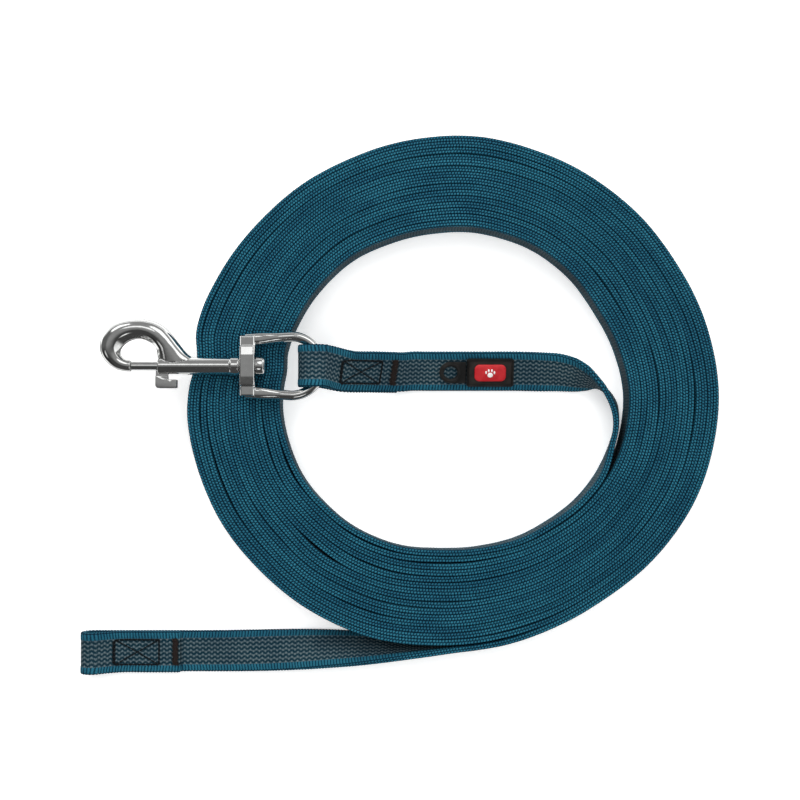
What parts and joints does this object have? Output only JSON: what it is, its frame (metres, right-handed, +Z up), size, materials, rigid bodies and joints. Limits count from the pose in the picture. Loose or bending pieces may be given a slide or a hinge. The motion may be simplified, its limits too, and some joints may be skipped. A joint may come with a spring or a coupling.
{
  "type": "training leash",
  "caption": "Long flat training leash wound on edge into a coil, with a swivel snap hook sewn into one end and a small sewn loop at the other.",
  "frame": {"origin": "middle of the leash's footprint, on the surface it lies on", "axes": "+Z up, +X from the snap hook towards the coil, +Y across, away from the sewn end loop"},
  "size_m": [0.3016, 0.2544, 0.0327],
  "materials": {
    "webbing": "ribbed woven strap, petrol edges and a grey rubber-threaded middle",
    "thread": "black sewing thread",
    "rubber": "matt moulded rubber",
    "label_field": "fine-grained moulded rubber",
    "badge": "smooth moulded badge",
    "mark": "plain raised mark",
    "hook_metal": "polished nickel plate on a casting",
    "pin_metal": "polished nickel plate, lathe turned",
    "spring_steel": "drawn spring wire"
  },
  "bodies": {
    "strap": {"webbing_coil": "webbing", "inner_strap": "webbing", "outer_strap": "webbing", "hook_loop": "webbing", "end_loop": "webbing", "hook_box_stitch": "thread", "hook_bar_tack": "thread", "end_box_stitch": "thread", "end_bar_tack": "thread", "label_rim": "rubber", "label_field": "label_field", "label_badge": "badge", "label_mark": "mark", "eyelet_tab": "rubber"},
    "eye": {"swivel_eye": "hook_metal"},
    "hook": {"hook_body": "hook_metal", "swivel_pin": "pin_metal", "bolt_spring": "spring_steel"},
    "bolt": {"bolt": "pin_metal", "thumb_lever": "hook_metal"}
  },
  "joints": [
    {"name": "eye_hinge", "type": "hinge", "parent": "strap", "child": "eye", "pos_m": [-0.0377, 0.0185, 0.0245], "axis": [0, 1, 0], "range_deg": [0, 135]},
    {"name": "hook_swivel", "type": "hinge", "parent": "eye", "child": "hook", "pos_m": [-0.07, 0.0185, 0.0245], "axis": [1, 0, 0], "continuous": true},
    {"name": "bolt_slide", "type": "slide", "parent": "hook", "child": "bolt", "axis": [1, 0, 0], "range_m": [0, 0.009], "stiffness_N_per_m": 400, "springref_m": -0.005, "deforming": ["bolt_spring"]}
  ]
}
